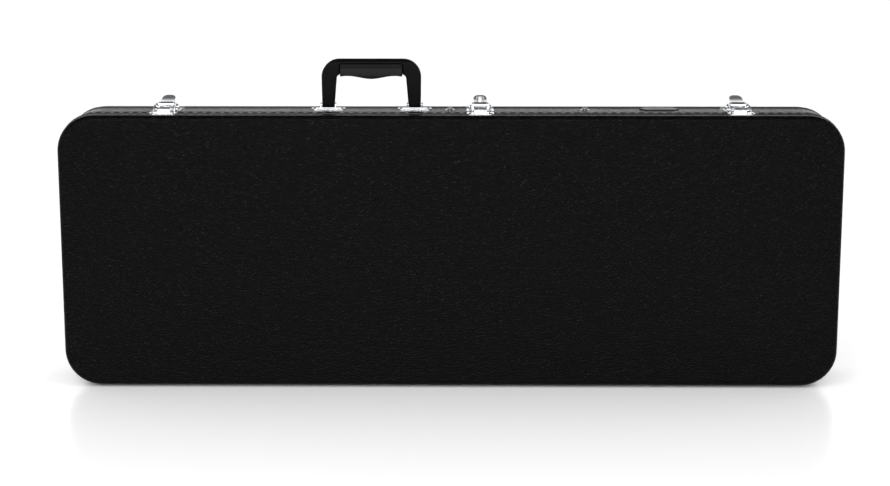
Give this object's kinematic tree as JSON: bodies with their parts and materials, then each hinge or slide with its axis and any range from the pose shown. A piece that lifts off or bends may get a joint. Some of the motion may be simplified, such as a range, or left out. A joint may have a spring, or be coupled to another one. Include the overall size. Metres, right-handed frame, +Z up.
{
  "type": "electric guitar case",
  "caption": "Rectangular hard case for an electric guitar, with a hinged lid, draw latches and a folding carrying handle.",
  "frame": {"origin": "middle of the footprint on the floor, with the case standing on its hinge side", "axes": "+X along the case towards the headstock end, +Y from the lid to the back, +Z up towards the handle"},
  "size_m": [1.0444, 0.114, 0.4384],
  "materials": {
    "plywood": "sanded",
    "vinyl": "grained, semi-gloss",
    "welt": "smooth",
    "rim": "moulded",
    "plush": "short pile",
    "handle_plastic": "moulded grain",
    "grip_vinyl": "padded",
    "name_plate": "bare",
    "lock_brass": "nickel plated",
    "chrome": "polished"
  },
  "bodies": {
    "case_body": {"back_pad": "plush", "body_cover": "vinyl", "body_feet": "chrome", "body_lining": "plush", "body_rim": "rim", "body_shell": "plywood", "body_welt": "welt", "compartment_body_wall": "plush", "compartment_head_wall": "plush", "compartment_neck_wall": "plush", "compartment_studs": "chrome", "cradle_lower": "plush", "cradle_upper": "plush", "handle_bracket_rivets": "chrome", "handle_left_bracket": "chrome", "handle_left_pin": "chrome", "handle_right_bracket": "chrome", "handle_right_pin": "chrome", "hinge_1_body_leaf": "chrome", "hinge_2_body_leaf": "chrome", "hinge_3_body_leaf": "chrome", "hinge_body_rivets": "chrome", "hinge_pins": "chrome", "latch_base_rivets": "chrome", "latch_left_base": "chrome", "latch_left_lever_pin": "chrome", "latch_middle_base": "chrome", "latch_middle_lever_pin": "chrome", "latch_right_base": "chrome", "latch_right_lever_pin": "chrome", "name_plate": "name_plate", "neck_bolster": "plush", "neck_rest": "plush"},
    "lid": {"hinge_1_lid_leaf": "chrome", "hinge_2_lid_leaf": "chrome", "hinge_3_lid_leaf": "chrome", "hinge_lid_rivets": "chrome", "latch_left_strike": "chrome", "latch_middle_strike": "chrome", "latch_right_strike": "chrome", "latch_strike_rivets": "chrome", "lid_cover": "vinyl", "lid_feet": "chrome", "lid_lining": "plush", "lid_pad": "plush", "lid_rim": "rim", "lid_shell": "plywood", "lid_welt": "welt"},
    "handle": {"handle_bow": "handle_plastic", "handle_grip": "grip_vinyl"},
    "lock": {"lock_cylinder": "lock_brass"},
    "latch_left_lever": {"latch_left_lever": "chrome"},
    "latch_left_bail_pin": {"latch_left_bail_pin": "chrome"},
    "latch_left_bail": {"latch_left_bail": "chrome"},
    "latch_middle_lever": {"latch_middle_lever": "chrome"},
    "latch_middle_bail_pin": {"latch_middle_bail_pin": "chrome"},
    "latch_middle_bail": {"latch_middle_bail": "chrome"},
    "latch_right_lever": {"latch_right_lever": "chrome"},
    "latch_right_bail_pin": {"latch_right_bail_pin": "chrome"},
    "latch_right_bail": {"latch_right_bail": "chrome"}
  },
  "joints": [
    {"name": "lid_hinge", "type": "hinge", "parent": "case_body", "child": "lid", "pos_m": [0, -0.018, 0.003], "axis": [1, 0, 0], "range_deg": [0, 100]},
    {"name": "handle_pivot", "type": "hinge", "parent": "case_body", "child": "handle", "pos_m": [-0.10735, 0.0195, 0.3758], "axis": [1, 0, 0], "range_deg": [-75, 75]},
    {"name": "latch_left_lever_pivot", "type": "hinge", "parent": "case_body", "child": "latch_left_lever", "pos_m": [-0.382, 0.002, 0.3775], "axis": [1, 0, 0], "range_deg": [0, 95]},
    {"name": "latch_left_bail_swing", "type": "hinge", "parent": "latch_left_lever", "child": "latch_left_bail_pin", "pos_m": [-0.382, 0.0095, 0.3746], "axis": [1, 0, 0], "range_deg": [-77, 0]},
    {"name": "latch_left_bail_lift", "type": "hinge", "parent": "latch_left_bail_pin", "child": "latch_left_bail", "pos_m": [-0.382, 0.0095, 0.3746], "axis": [1, 0, 0], "range_deg": [-60, 0]},
    {"name": "latch_middle_lever_pivot", "type": "hinge", "parent": "case_body", "child": "latch_middle_lever", "pos_m": [0.0395, 0.002, 0.3775], "axis": [1, 0, 0], "range_deg": [0, 95]},
    {"name": "latch_middle_bail_swing", "type": "hinge", "parent": "latch_middle_lever", "child": "latch_middle_bail_pin", "pos_m": [0.0395, 0.0095, 0.3746], "axis": [1, 0, 0], "range_deg": [-77, 0]},
    {"name": "latch_middle_bail_lift", "type": "hinge", "parent": "latch_middle_bail_pin", "child": "latch_middle_bail", "pos_m": [0.0395, 0.0095, 0.3746], "axis": [1, 0, 0], "range_deg": [-60, 0]},
    {"name": "latch_right_lever_pivot", "type": "hinge", "parent": "case_body", "child": "latch_right_lever", "pos_m": [0.385, 0.002, 0.3775], "axis": [1, 0, 0], "range_deg": [0, 95]},
    {"name": "latch_right_bail_swing", "type": "hinge", "parent": "latch_right_lever", "child": "latch_right_bail_pin", "pos_m": [0.385, 0.0095, 0.3746], "axis": [1, 0, 0], "range_deg": [-77, 0]},
    {"name": "latch_right_bail_lift", "type": "hinge", "parent": "latch_right_bail_pin", "child": "latch_right_bail", "pos_m": [0.385, 0.0095, 0.3746], "axis": [1, 0, 0], "range_deg": [-60, 0]},
    {"name": "lock_turn", "type": "hinge", "parent": "latch_middle_lever", "child": "lock", "pos_m": [0.0395, 0.015, 0.3872], "axis": [0, 0, 1], "range_deg": [0, 90]}
  ],
  "couplings": [
    {"joint": "latch_left_bail_swing", "follows": "latch_left_lever_pivot", "ratio": -0.81},
    {"joint": "latch_middle_bail_swing", "follows": "latch_middle_lever_pivot", "ratio": -0.81},
    {"joint": "latch_right_bail_swing", "follows": "latch_right_lever_pivot", "ratio": -0.81}
  ]
}
